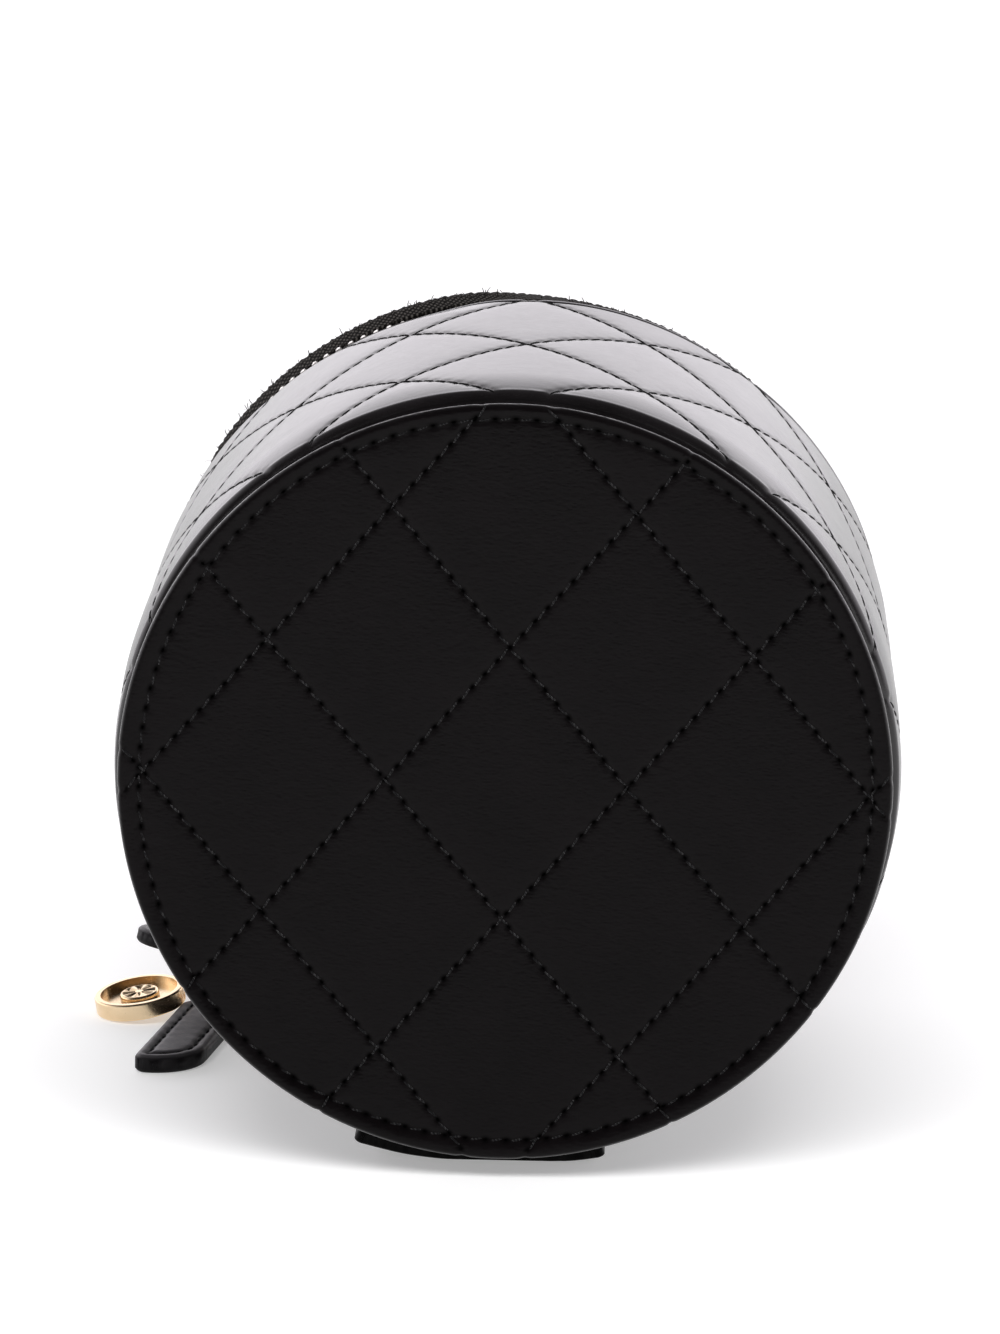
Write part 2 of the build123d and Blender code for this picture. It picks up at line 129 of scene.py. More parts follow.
DIP_RUN = 9.0


# ---- meshes
def round_case(radius, angle, y):
    """Points at a radius and polar angle round the case axis."""
    a = np.radians(angle)
    parts = np.broadcast_arrays(-radius * np.sin(a), y, AXIS_H - radius * np.cos(a))
    return np.stack(parts, axis=-1)


def smooth_step(value, middle, width):
    """A smooth step from 0 to 1 as value passes middle, and from 1 to 0 if the width is below zero."""
    return 1 / (1 + np.exp((middle - value) / width))


def grid_faces(rows, columns, loop_rows=False, loop_columns=False):
    row = np.arange(rows if loop_rows else rows - 1)
    column = np.arange(columns if loop_columns else columns - 1)
    row, column = np.meshgrid(row, column, indexing="ij")
    next_row = (row + 1) % rows
    next_column = (column + 1) % columns
    quads = (
        row * columns + column,
        row * columns + next_column,
        next_row * columns + next_column,
        next_row * columns + column,
    )
    return np.stack(quads, axis=-1).reshape(-1, 4).tolist()


def piece(name, points, faces, material, body, slot, seam=None, polish=None, weld=0.0, fill=False):
    """A smooth mesh in the row frame that rides on a body. seam and polish are numbers for each point, which the
    leather reads: seam as painted shade, polish as a glossier finish."""
    mesh = bpy.data.meshes.new(name)
    points = np.asarray(points, float).reshape(-1, 3)
    mesh.from_pydata((points * MM).tolist(), [], faces)
    for label, values in (("seam", seam), ("polish", polish)):
        if values is not None:
            mark = mesh.attributes.new(label, "FLOAT", "POINT")
            mark.data.foreach_set("value", np.asarray(values, np.float32).ravel())
    work = bmesh.new()
    work.from_mesh(mesh)
    if weld:
        bmesh.ops.remove_doubles(work, verts=work.verts, dist=weld * MM)
    if fill:
        bmesh.ops.holes_fill(work, edges=[e for e in work.edges if e.is_boundary])
    bmesh.ops.recalc_face_normals(work, faces=work.faces)
    work.to_mesh(mesh)
    work.free()
    mesh.polygons.foreach_set("use_smooth", [True] * len(mesh.polygons))
    mesh.materials.append(material)
    made = bpy.data.objects.new(name, mesh)
    bpy.context.scene.collection.objects.link(made)
    if body is not None:
        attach(made, body)
    return made


def joined(parts):
    """One list of points and faces from several."""
    points, faces, start = [], [], 0
    for some_points, some_faces in parts:
        some_points = np.asarray(some_points, float).reshape(-1, 3)
        points.append(some_points)
        faces += [[start + corner for corner in face] for face in some_faces]
        start += len(some_points)
    return np.concatenate(points), faces


def unit(vectors):
    return vectors / np.maximum(np.linalg.norm(vectors, axis=-1, keepdims=True), 1e-9)


def threads(places, headings, surface, length=THREAD_L, radius=THREAD_R, slant=0.0, lift=0.0):
    """Short stretches of thread, each bowed into its two needle holes.
    places and headings are on a surface's own two coordinates, and surface maps them and a height to space."""
    step = 0.05
    turned = headings @ np.array([[cos(slant), sin(slant)], [-sin(slant), cos(slant)]])
    centre = surface(places[:, 0], places[:, 1], lift)
    ahead = surface(places[:, 0] + turned[:, 0] * step, places[:, 1] + turned[:, 1] * step, lift)
    along = unit(ahead - centre)
    outward = surface(places[:, 0], places[:, 1], lift + step) - centre
    outward = unit(outward - along * (outward * along).sum(-1, keepdims=True))
    side = np.cross(outward, along)
    stations, ring = 9, 8
    t = np.linspace(-1, 1, stations)
    thick = radius * np.sqrt(np.maximum(1 - np.abs(t) ** 3.5, 0.02))
    theta = np.arange(ring) * tau / ring
    ahead = (t * length / 2)[:, None] + 0 * theta
    sideways = thick[:, None] * np.cos(theta)
    up = thick[:, None] * np.sin(theta) - (t ** 4)[:, None] * radius * 1.6
    points = (
        centre[:, None, None]
        + ahead[None, ..., None] * along[:, None, None]
        + sideways[None, ..., None] * side[:, None, None]
        + up[None, ..., None] * outward[:, None, None]
    )
    faces = grid_faces(stations, ring, loop_columns=True)
    faces += [list(range(ring)), list(range((stations - 1) * ring, stations * ring))]
    return joined([(p, faces) for p in points])


def slits(places, headings, surface, lift, length=SLIT_L, width=SLIT_W):
    """Needle slits: small near-black lozenges laid along a seam, painted shade for the dark insides of the needle
    holes.
    """
    theta = np.arange(8) * tau / 8
    along, across = np.cos(theta) * length / 2, np.sin(theta) * width / 2
    sideways = np.stack((-headings[:, 1], headings[:, 0]), axis=-1)
    spots = places[:, None] + along[:, None] * headings[:, None] + across[:, None] * sideways[:, None]
    points = surface(spots[..., 0], spots[..., 1], lift)
    return joined([(p, [list(range(8))]) for p in points])


# ---- quilting
def lattice_run(width, height):
    """Length of a diamond's side, its stitches, and the lattice's diagonal."""
    diagonal = hypot(width, height)
    return diagonal / 2, round(diagonal / 2 / QUILT_STITCH), diagonal


def seam_lines(across, along, width, height):
    """For both families of a diamond lattice's seams: distance from the nearest, and place along it in stitches."""
    side, count, diagonal = lattice_run(width, height)
    for sign in (1, -1):
        line = across / width + sign * along / height
        distance = np.abs(line % 1 - 0.5) * width * height / diagonal
        run = (across * width - sign * along * height) / diagonal
        start = -sign * height ** 2 / 2 / diagonal
        yield distance, (run - start) / side * count


def seam_stitches(width, height, reach, inside, start=0.5):
    """Places and headings of all stitches of a diamond lattice within reach of its middle, where inside is true.
    start is 0.5 for the threads and 0 for the needle holes."""
    side, count, diagonal = lattice_run(width, height)
    lines = np.arange(-int(reach / width * 2) - 2, int(reach / width * 2) + 3) + 0.5
    steps = np.arange(-int(reach / QUILT_STITCH) * 2, int(reach / QUILT_STITCH) * 2) + start
    line, step = np.meshgrid(lines, steps)
    places, headings = [], []
    for sign in (1, -1):
        run = -sign * height ** 2 / 2 / diagonal + step / count * side
        across = (run * diagonal + line * height ** 2) * width / diagonal ** 2
        along = sign * height * (line - across / width)
        kept = inside(across, along)
        places.append(np.stack((across[kept], along[kept]), axis=-1))
        heading = np.array([width, -sign * height]) / diagonal
        headings.append(np.tile(heading, (int(kept.sum()), 1)))
    return np.concatenate(places), np.concatenate(headings)


def seam_shape(distance, phase):
    """Depth of one seam at a point, how near a needle hole is, and the pucker beside it."""
    gap = (phase - np.round(phase)) * QUILT_STITCH
    hole = np.exp(-(distance / HOLE_R) ** 2 - (gap / HOLE_R / 1.4) ** 2)
    channel = np.exp(-(distance / SEAM_HW) ** 2)
    pucker = np.cos(tau * phase) * np.exp(-distance / PUCKER_REACH) * (1 - channel)
    return channel, hole, pucker


def quilted(lines):
    """Height of padded leather over its deepest flat, and the needle holes' nearness, from all its seams."""
    crown, channel, hole, pucker = 1.0, 0.0, 0.0, 0.0
    for distance, phase in lines:
        a_channel, a_hole, a_pucker = seam_shape(distance, phase)
        crown = crown * (1 - np.exp(-(distance / PILLOW_REACH)))
        channel = np.maximum(channel, a_channel)
        hole = np.maximum(hole, a_hole)
        pucker = pucker + a_pucker
    height = PILLOW * crown - SEAM_DEPTH * channel - HOLE_DEPTH * hole - PUCKER * pucker
    return height, hole


def disc_square(count):
    """A square grid of points mapped evenly onto the unit disc."""
    a, b = np.meshgrid(np.linspace(-1, 1, count), np.linspace(-1, 1, count), indexing="ij")
    wide = np.abs(a) > np.abs(b)
    radius = np.where(wide, a, b)
    small = np.where(wide, b, a)
    ratio = np.divide(small, radius, out=np.zeros_like(a), where=np.abs(radius) > 1e-12)
    turn = np.where(wide, pi / 4 * ratio, pi / 2 - pi / 4 * ratio)
    return radius * np.cos(turn), radius * np.sin(turn)


def hand_sewn(x, z):
    """How far the rim and its row of stitches stray outwards from their circles, round a panel."""
    around = np.arctan2(-x, -z)
    rim = 0.35 * np.cos(around - radians(25)) - 0.15
    lower_left = np.exp(-((around - radians(50)) / radians(26)) ** 2)
    stitches = 0.85 * lower_left + 0.25 * np.cos(2 * around)
    return rim, stitches


def quilted_disc(name, rim_r, face_y, back_y, out, body, node):
    """Padded round panel: quilted field, stitched rim and rolled edge. out is -1 for the base and 1 for the lid."""
    ring_r = rim_r - RIM_STITCH_IN
    turns = round(tau * ring_r / STITCH)

    def circles(x, z):
        rim_stray, stitch_stray = hand_sewn(x, z)
        return rim_r - RIM_ROUND + rim_stray, ring_r + stitch_stray

    def relief(x, z):
        across = x * cos(DISC_TURN) + z * sin(DISC_TURN)
        along = -x * sin(DISC_TURN) + z * cos(DISC_TURN)
        radius = np.hypot(x, z)
        bead_r, stitch_r = circles(x, z)
        lines = list(seam_lines(across, along, DISC_W, DISC_H))
        field, hole = quilted(lines)
        rim_line = (np.abs(radius - stitch_r), np.arctan2(z, x) / tau * turns)
        rim_height, rim_hole = quilted([rim_line])
        inner = np.minimum(field, rim_height)
        bead = PILLOW + BEAD_RISE - BEAD_DENT * np.exp(-(min_distance(lines) / SEAM_HW) ** 2)
        share = 1 - (1 - np.clip((radius - stitch_r) / (bead_r - stitch_r), 0, 1)) ** 2
        height = inner * (1 - share) + bead * share
        return height, np.maximum(hole, rim_hole)

    def place(x, z, height):
        return np.stack(np.broadcast_arrays(x, face_y - out * PANEL_SINK + out * height, AXIS_H + z), axis=-1)

    def sewn_place(x, z, height):
        """On the leather itself, a little above the flat of its seams."""
        return place(x, z, relief(x, z)[0] + height)

    count = 281
    u, v = disc_square(count)
    edge = circles(u, v)[0]
    x, z = u * edge, v * edge
    height, hole = relief(x, z)
    field_points = place(x, z, height)

    around = np.linspace(0, tau, 4 * (count - 1), endpoint=False)
    bend = np.linspace(0, 1.0, 15)
    ring_x = np.cos(around)
    ring_z = np.sin(around)
    edge = circles(ring_x, ring_z)[0]
    edge_height = relief(ring_x * edge, ring_z * edge)[0]
    dent = (edge_height - PILLOW - BEAD_RISE) * 0.8
    turn = bend[:, None] * RIM_BEND
    radius = edge + (RIM_ROUND + dent) * np.sin(turn)
    y = face_y - out * PANEL_SINK + out * (edge_height - RIM_ROUND * (1 - np.cos(turn)))
    tuck_r = np.full(len(around), rim_r - RIM_TUCK)
    radius = np.vstack([radius, tuck_r])
    y = np.vstack([y, np.full(len(around), back_y)])
    ring_points = np.stack((radius * ring_x, y, AXIS_H + radius * ring_z), axis=-1)
    rows = len(radius)
    parts = [
        (field_points, grid_faces(count, count)),
        (ring_points, grid_faces(rows, len(around), loop_columns=True)),
    ]
    points, faces = joined(parts)
    ring_polish = np.clip((np.append(bend, 1.0) - 0.25) / 0.35, 0, 1)[:, None] + 0 * radius
    # painted shade: seam carries the needle holes' nearness, and the leather paints them dark and dull
    panel = piece(name, points, faces, LEATHER, body, "quilted_leather", weld=0.02, fill=True,
                  seam=np.concatenate([hole.ravel(), np.zeros(radius.size)]),
                  polish=np.concatenate([np.zeros(hole.size), ring_polish.ravel()]))
    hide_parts(node)

    def inside(across, along):
        return np.hypot(across, along) < rim_r - RIM_ROUND - 0.4

    turned_back = np.array([[cos(DISC_TURN), sin(DISC_TURN)], [-sin(DISC_TURN), cos(DISC_TURN)]])
    made = []
    for start in (0.5, 0.0):
        places, headings = seam_stitches(DISC_W, DISC_H, rim_r, inside, start)
        angle = (np.arange(turns) + start) / turns * tau
        circle = np.stack((np.cos(angle), np.sin(angle)), axis=-1)
        rim_headings = np.stack((-np.sin(angle), np.cos(angle)), axis=-1)
        made.append((
            np.concatenate([places @ turned_back, circle * circles(circle[:, 0], circle[:, 1])[1][:, None]]),
            np.concatenate([headings @ turned_back, rim_headings]),
        ))
    sewn = threads(*made[0], sewn_place, slant=radians(11), lift=THREAD_R * 0.55)
    piece(name + "_stitches", *sewn, THREAD, body, "quilted_leather")
    piece(name + "_needle_slit_shade", *slits(*made[1], sewn_place, 0.1), SLIT_SHADE, body, "quilted_leather")


def min_distance(lines):
    return np.minimum(lines[0][0], lines[1][0])


def wall_lattice(radius):
    """Width of the wall's diamonds at that radius, and a function to lattice coordinates."""
    width = tau * radius / WALL_COLUMNS

    def to_lattice(angle, y):
        across = np.radians(angle - CROSSING_A) * radius + width / 2
        along = y - EDGE_Y
        return across, along

    return width, to_lattice


def zip_dip(angle, y, edge_y):
    """How far the zip pulls the wall's edge in, on the left."""
    near = np.clip(1 - np.abs(y - edge_y) / DIP_RUN, 0, 1)
    return DIP * smooth_step(angle, 116, 2.5) * smooth_step(angle, 171, -3) * near ** 2 * (3 - 2 * near)


def quilted_wall(name, section, inner_r, body, node, stitch_low, stitch_high, edge_y, dip):
    """Quilted band of leather round the case. section lists (radius, y, share of the quilting) of its outer
    skin. The quilting is sewn between stitch_low and stitch_high, and the edge beside the zip at edge_y. dip is 1
    where the zip pulls that edge in, and 0 elsewhere."""
    columns = 720
    width, to_lattice = wall_lattice(WALL_R)
    angle = np.arange(columns) * 360 / columns
    radius, y, share = (np.array(values)[:, None] for values in zip(*section))
    height, hole = quilted(list(seam_lines(*to_lattice(angle, y), width, DISC_H)))
    rise = (height - PILLOW * LIE) * share
    edge_line = np.exp(-((y - edge_y) / 0.5) ** 2) * (share > 0.01)
    slope_r = np.gradient(radius[:, 0])
    slope_y = np.gradient(y[:, 0])
    normal = unit(np.stack((slope_y, -slope_r), axis=-1)) * np.sign(slope_y.sum())
    outer_r = radius + (rise - 0.25 * edge_line) * normal[:, :1] - dip * zip_dip(angle, y, EDGE_Y)
    outer_y = y + (rise - 0.25 * edge_line) * normal[:, 1:]
    inner = np.full((1, columns), inner_r)
    loop_r = np.vstack([outer_r, inner, inner])
    loop_y = np.vstack([outer_y, np.full((1, columns), y[-1, 0]), np.full((1, columns), y[0, 0])])
    points = round_case(loop_r, angle, loop_y)
    # painted shade: darker and duller in the needle holes and in the sunk groove of the stitch row beside the zip
    marks = np.vstack([np.maximum(hole * share * 0.4, 0.8 * edge_line + 0 * hole), np.zeros((2, columns))])
    faces = grid_faces(len(loop_r), columns, loop_rows=True, loop_columns=True)
    wall = piece(name, points, faces, WALL_LEATHER, body, "quilted_leather", seam=marks)
    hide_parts(node)

    def surface(across, along, lift):
        a = degrees(1) * (across - width / 2) / WALL_R + CROSSING_A
        at_y = along + EDGE_Y
        line_r = np.interp(at_y, *sorted_pairs(y[:, 0], radius[:, 0]))
        return round_case(line_r + lift - dip * zip_dip(a % 360, at_y, EDGE_Y), a, at_y)

    def inside(across, along):
        at_y = along + EDGE_Y
        once = (across >= 0) & (across < WALL_COLUMNS * width)
        return once & (at_y > stitch_low) & (at_y < stitch_high)

    reach = WALL_COLUMNS * width
    flat = -PILLOW * LIE - SEAM_DEPTH
    sewn = threads(*seam_stitches(width, DISC_H, reach, inside), surface, length=WALL_THREAD_L,
                   radius=WALL_THREAD_R, slant=radians(5), lift=flat + WALL_THREAD_R)
    turns = round(tau * WALL_R / STITCH)
    edge_places = np.stack((np.arange(turns) * reach / turns, np.full(turns, edge_y - EDGE_Y)), axis=-1)
    edge_headings = np.tile([1.0, 0.0], (turns, 1))
    edge_sewn = threads(edge_places, edge_headings, surface, length=WALL_THREAD_L, radius=WALL_THREAD_R,
                        slant=radians(3), lift=-0.2)
    piece(name + "_stitches", *joined([sewn, edge_sewn]), DARK_THREAD, body, "quilted_leather")


def sorted_pairs(keys, values):
    order = np.argsort(keys)
    return keys[order], values[order]


# ---- flat leather pieces
def pad(stations, low, high, thickness, edge_round, relief, surface, columns=41):
    """Closed leather slab between two sides. surface maps (along, across, height) to space."""
    outline = np.concatenate([
        np.stack((stations, low), axis=-1),
        np.stack((stations, high), axis=-1)[::-1],
    ])
    closed = np.vstack([outline, outline[:1]])
    walked = np.concatenate([[0], np.cumsum(np.hypot(*np.diff(closed, axis=0).T))])
    dense = np.linspace(0, walked[-1], int(walked[-1] / 0.15))
    dense = np.stack([np.interp(dense, walked, closed[:, k]) for k in (0, 1)], axis=-1)
    share = 0.5 - 0.5 * np.cos(np.linspace(0, pi, columns))
    x = np.repeat(stations[:, None], columns, axis=1)
    y = low[:, None] + (high - low)[:, None] * share
    distance = np.empty_like(x)
    for row in range(len(stations)):
        gaps = dense[None] - np.stack((x[row], y[row]), axis=-1)[:, None]
        distance[row] = np.sqrt((gaps ** 2).sum(-1)).min(-1)
    near = np.minimum(distance, edge_round)
    drop = edge_round - np.sqrt(edge_round ** 2 - (edge_round - near) ** 2)
    rows = len(stations)
    top = surface(x, y, thickness - drop + relief(distance, x, y))
    bottom = surface(x, y, drop)
    faces = grid_faces(rows, columns)
    lower = rows * columns
    faces += [[lower + corner for corner in face] for face in grid_faces(rows, columns)]
    index = np.arange(rows * columns).reshape(rows, columns)
    rim = np.concatenate([index[0, :], index[1:, -1], index[-1, -2::-1], index[-2:0:-1, 0]])
    after = np.roll(rim, -1)
    faces += np.stack((rim, after, lower + after, lower + rim), axis=-1).tolist()
    # painted shade: darker and duller in the stitch groove, along the top's edge, on the sides and on the underside
    stitched = np.exp(-((distance - PAD_STITCH_IN) / 0.4) ** 2)
    side = SIDE_SHADE * np.exp(-(distance / 0.2) ** 2)
    marks = np.concatenate([np.maximum(stitched, side).ravel(), np.full(lower, SIDE_SHADE)])
    return np.concatenate([top.reshape(-1, 3), bottom.reshape(-1, 3)]), faces, marks, dense


def inset_stitches(dense, inset, pitch, skip=None):
    """Places and headings of a row of stitches inside an outline."""
    heading = unit(np.roll(dense, -1, axis=0) - np.roll(dense, 1, axis=0))
    area = (dense[:, 0] * np.roll(dense[:, 1], -1) - np.roll(dense[:, 0], -1) * dense[:, 1]).sum()
    inward = np.stack((-heading[:, 1], heading[:, 0]), axis=-1) * np.sign(area)
    line = dense + inward * inset
    gaps = np.sqrt(((line[:, None] - dense[None]) ** 2).sum(-1)).min(-1)
    line = line[gaps > inset - 0.06]
    if skip is not None:
        line = line[~skip(line)]
    steps = np.hypot(*np.diff(line, axis=0).T)
    walked = np.concatenate([[0], np.cumsum(steps)])
    marks = np.arange(pitch / 2, walked[-1], pitch)
    places = np.stack([np.interp(marks, walked, line[:, k]) for k in (0, 1)], axis=-1)
    beyond = np.stack([np.interp(marks + 0.2, walked, line[:, k]) for k in (0, 1)], axis=-1)
    before = np.stack([np.interp(marks - 0.2, walked, line[:, k]) for k in (0, 1)], axis=-1)
    return places, unit(beyond - before)


PAD_STITCH_IN = 1.9
PAD_GROOVE = 0.35
SIDE_SHADE = 0.8        # the sides and the underside are darker and duller than the face: dark edge paint, and painted shade


def stitched_relief(distance, x, y):
    groove = -PAD_GROOVE * np.exp(-((distance - PAD_STITCH_IN) / 0.45) ** 2)
    inner = 0.12 * (1 - np.exp(-np.maximum(distance - PAD_STITCH_IN, 0) / 1.5))
    wrinkle = 0.05 * np.sin(x * 1.9 + 1.3 * np.sin(y * 0.8)) * np.exp(-((distance - PAD_STITCH_IN) / 1.6) ** 2)
    return groove + inner + wrinkle


# ---- materials
def new_material(name):
    made = bpy.data.materials.new(name)
    made.use_nodes = True
    return made, made.node_tree, made.node_tree.nodes["Principled BSDF"]


def node(tree, kind, inputs, **settings):
    made = tree.nodes.new("ShaderNode" + kind)
    for key, value in settings.items():
        setattr(made, key, value)
    for key, value in inputs.items():
        if isinstance(value, bpy.types.NodeSocket):
            tree.links.new(value, made.inputs[key])
        else:
            made.inputs[key].default_value = value
    return made


def mapped(tree, scale):
    where = node(tree, "TexCoord", {})
    return node(tree, "Mapping", {"Vector": where.outputs["Object"], "Scale": scale}).outputs["Vector"]


def noise(tree, scale, size, detail=3.0, roughness=0.6):
    vector = mapped(tree, scale)
    made = node(tree, "TexNoise", {"Vector": vector, "Scale": size, "Detail": detail, "Roughness": roughness})
    return made.outputs["Fac"]


def ramp(tree, factor, stops):
    made = node(tree, "ValToRGB", {"Fac": factor})
    elements = made.color_ramp.elements
    while len(elements) < len(stops):
        elements.new(0.5)
    for element, (position, colour) in zip(elements, stops):
        element.position = position
        element.color = (*colour, 1.0)
    return made.outputs["Color"]


def spread(tree, factor, low, high, from_low=0.25, from_high=0.75):
    inputs = {"Value": factor, "From Min": from_low, "From Max": from_high, "To Min": low, "To Max": high}
    return node(tree, "MapRange", inputs).outputs["Result"]


def math(tree, operation, a, b):
    made = node(tree, "Math", {0: a, 1: b}, operation=operation)
    return made.outputs["Value"]


def bump(tree, height, strength, distance, after=None):
    inputs = {"Height": height, "Strength": strength, "Distance": distance}
    if after is not None:
        inputs["Normal"] = after
    return node(tree, "Bump", inputs).outputs["Normal"]


def leather(name, dark, light, rough, grain, stretch, specular=0.5, grain_depth=0.00006, drift=0.06):
    """Grained leather: pebbles, fine creases, drifting tone, painted shade that darkens and dulls it where the seam
    mark is high, and a polished edge.
    """
    made, tree, shader = new_material(name)
    tone = noise(tree, (1, 1, 1), 90.0)
    pebble = node(tree, "TexVoronoi", {"Vector": mapped(tree, stretch), "Scale": grain}, feature="SMOOTH_F1")
    crease = noise(tree, stretch, grain * 0.35, detail=5.0, roughness=0.65)
    colour = ramp(tree, tone, [(0.3, dark), (0.7, light)])
    # painted shade: the seam mark darkens the colour and dulls the shine in needle holes, grooves and on the sides of
    # flat pieces
    seam = node(tree, "Attribute", {}, attribute_name="seam").outputs["Fac"]
    kept = spread(tree, seam, 1.0, 0.25, 0.1, 0.8)
    polish = node(tree, "Attribute", {}, attribute_name="polish").outputs["Fac"]
    tree.links.new(node(tree, "Mix", {"Factor": kept, 6: (0.001, 0.001, 0.001, 1), 7: colour},
                        data_type="RGBA").outputs[2], shader.inputs["Base Color"])
    worn = math(tree, "ADD", spread(tree, tone, rough - drift, rough + drift), spread(tree, crease, -drift, drift))
    tree.links.new(math(tree, "SUBTRACT", worn, math(tree, "MULTIPLY", polish, 0.17)), shader.inputs["Roughness"])
    shine = spread(tree, polish, specular, 0.6, 0.0, 1.0)
    tree.links.new(math(tree, "MULTIPLY", shine, spread(tree, seam, 1.0, 0.1, 0.1, 0.8)),
                   shader.inputs["Specular IOR Level"])
    first = bump(tree, crease, 0.5, grain_depth * 2.5)
    tree.links.new(bump(tree, pebble.outputs["Distance"], 0.8, grain_depth, first), shader.inputs["Normal"])
    return made


def metal(name, dark, light, rough, brush=(1, 1, 1)):
    made, tree, shader = new_material(name)
    drift = noise(tree, (1, 1, 1), 160.0)
    scratch = noise(tree, brush, 2600.0, detail=4.0, roughness=0.7)
    tree.links.new(ramp(tree, drift, [(0.3, dark), (0.7, light)]), shader.inputs["Base Color"])
    tree.links.new(spread(tree, scratch, rough - 0.05, rough + 0.08), shader.inputs["Roughness"])
    tree.links.new(bump(tree, scratch, 0.1, 0.000004), shader.inputs["Normal"])
    shader.inputs["Metallic"].default_value = 1.0
    return made


def woven(name, dark, light, thread, slanted, sheen):
    """Narrow woven tape: two crossing sets of ribs."""
    made, tree, shader = new_material(name)
    turned = node(tree, "Mapping", {"Vector": mapped(tree, (1, 1, 1)), "Rotation": slanted}).outputs["Vector"]
    warp = node(tree, "TexWave", {"Vector": turned, "Scale": thread, "Distortion": 1.2, "Detail": 2.0},
                wave_type="BANDS", bands_direction="X").outputs["Fac"]
    weft = node(tree, "TexWave", {"Vector": turned, "Scale": thread * 1.4, "Distortion": 1.2, "Detail": 2.0},
                wave_type="BANDS", bands_direction="Y").outputs["Fac"]
    weave = math(tree, "MULTIPLY", warp, weft)
    fuzz = noise(tree, (1, 1, 1), 3000.0)
    tree.links.new(ramp(tree, weave, [(0.1, dark), (0.8, light)]), shader.inputs["Base Color"])
    tree.links.new(bump(tree, fuzz, 0.4, 0.0001, bump(tree, weave, 0.9, 0.00015)), shader.inputs["Normal"])
    shader.inputs["Roughness"].default_value = 0.85
    shader.inputs["Specular IOR Level"].default_value = 0.15
    shader.inputs["Sheen Weight"].default_value = sheen
    return made


def napped(name, dark, light, size, sheen):
    """Velvet or suede: short brushed nap with lighter and darker drifts."""
    made, tree, shader = new_material(name)
    drift = noise(tree, (1, 1, 1), 55.0, detail=5.0)
    nap = noise(tree, (1, 1, 1), size, detail=2.0)
    blend = math(tree, "ADD", math(tree, "MULTIPLY", drift, 0.7), math(tree, "MULTIPLY", nap, 0.3))
    tree.links.new(ramp(tree, blend, [(0.35, dark), (0.65, light)]), shader.inputs["Base Color"])
    tree.links.new(bump(tree, nap, 0.5, 0.00025), shader.inputs["Normal"])
    shader.inputs["Roughness"].default_value = 0.95
    shader.inputs["Sheen Weight"].default_value = sheen
    shader.inputs["Sheen Roughness"].default_value = 0.4
    return made


LEATHER = leather("panel_leather", (0.0018, 0.0013, 0.0015), (0.0034, 0.0026, 0.0029), 0.42, 2100.0, (0.55, 1, 1.3),
                  specular=0.09)
WALL_LEATHER = leather("wall_leather_look", (0.0045, 0.0038, 0.004), (0.008, 0.0068, 0.0074), 0.24, 2100.0,
                       (1, 0.7, 1), grain_depth=0.000008, drift=0.012)
STRAP_LEATHER = leather("strap_leather_look", (0.006, 0.0055, 0.0055), (0.012, 0.011, 0.011), 0.42, 2300.0, (1, 1, 1))
# painted light: the tab and puller leather is several times lighter than the case's, standing in for the sheen on
# their tops
TAB_LEATHER_LIT = leather("tab_leather_lit_look", (0.026, 0.024, 0.026), (0.044, 0.041, 0.044), 0.5, 2600.0, (1, 1, 1),
                      specular=0.75, grain_depth=0.000025)
# painted shade: near-black and without shine, laid over the needle holes
SLIT_SHADE = woven("slit_shade_look", (0.0004, 0.0004, 0.0004), (0.0012, 0.001, 0.001), 900.0, (0.4, 0.6, 0.7), 0.0)
SLIT_SHADE.node_tree.nodes["Principled BSDF"].inputs["Specular IOR Level"].default_value = 0.0
THREAD = woven("thread_look", (0.004, 0.004, 0.0045), (0.02, 0.019, 0.02), 900.0, (0.4, 0.6, 0.7), 0.1)
DARK_THREAD = woven("dark_thread_look", (0.003, 0.003, 0.003), (0.012, 0.012, 0.012), 900.0, (0.4, 0.6, 0.7), 0.05)
TAPE = woven("tape_look", (0.005, 0.0045, 0.0042), (0.085, 0.078, 0.072), 450.0, (0.3, 0.2, 0.8), 0.0)
GOLD = metal("gold_look", (0.80, 0.60, 0.37), (0.90, 0.71, 0.47), 0.22)
TEETH = metal("teeth_look", (0.86, 0.83, 0.77), (0.95, 0.93, 0.90), 0.3)
VELVET = napped("velvet_look", (0.022, 0.019, 0.021), (0.055, 0.047, 0.051), 2600.0, 0.6)
SUEDE = napped("suede_look", (0.020, 0.018, 0.020), (0.045, 0.041, 0.044), 3200.0, 0.3)
BOARD = napped("board_look", (0.16, 0.12, 0.08), (0.26, 0.20, 0.14), 900.0, 0.0)
MIRROR = metal("mirror_look", (0.80, 0.83, 0.83), (0.86, 0.88, 0.88), 0.06)


# ---- camera, floor and light
CAMERA_AT = (20.56, -980.48, 282.30)
YAW, PITCH, ROLL = radians(-1.3203), radians(12.574), radians(0.8076)
LENS = 188.1

forward = Vector((sin(YAW) * cos(PITCH), cos(YAW) * cos(PITCH), -sin(PITCH)))
level = Vector((cos(YAW), -sin(YAW), 0))
above = level.cross(forward)
right = level * cos(ROLL) + above * sin(ROLL)
upward = above * cos(ROLL) - level * sin(ROLL)
camera_data = bpy.data.cameras.new("camera")
camera_data.lens = LENS
camera_data.sensor_width = 36
camera_data.clip_start = 0.05
camera_data.clip_end = 50
camera = bpy.data.objects.new("camera", camera_data)
bpy.context.scene.collection.objects.link(camera)
turn = Matrix((right, upward, -forward)).transposed().to_4x4()
camera.matrix_world = Matrix.Translation(Vector(CAMERA_AT) * MM) @ turn
bpy.context.scene.camera = camera
bpy.context.scene.view_settings.view_transform = "Standard"

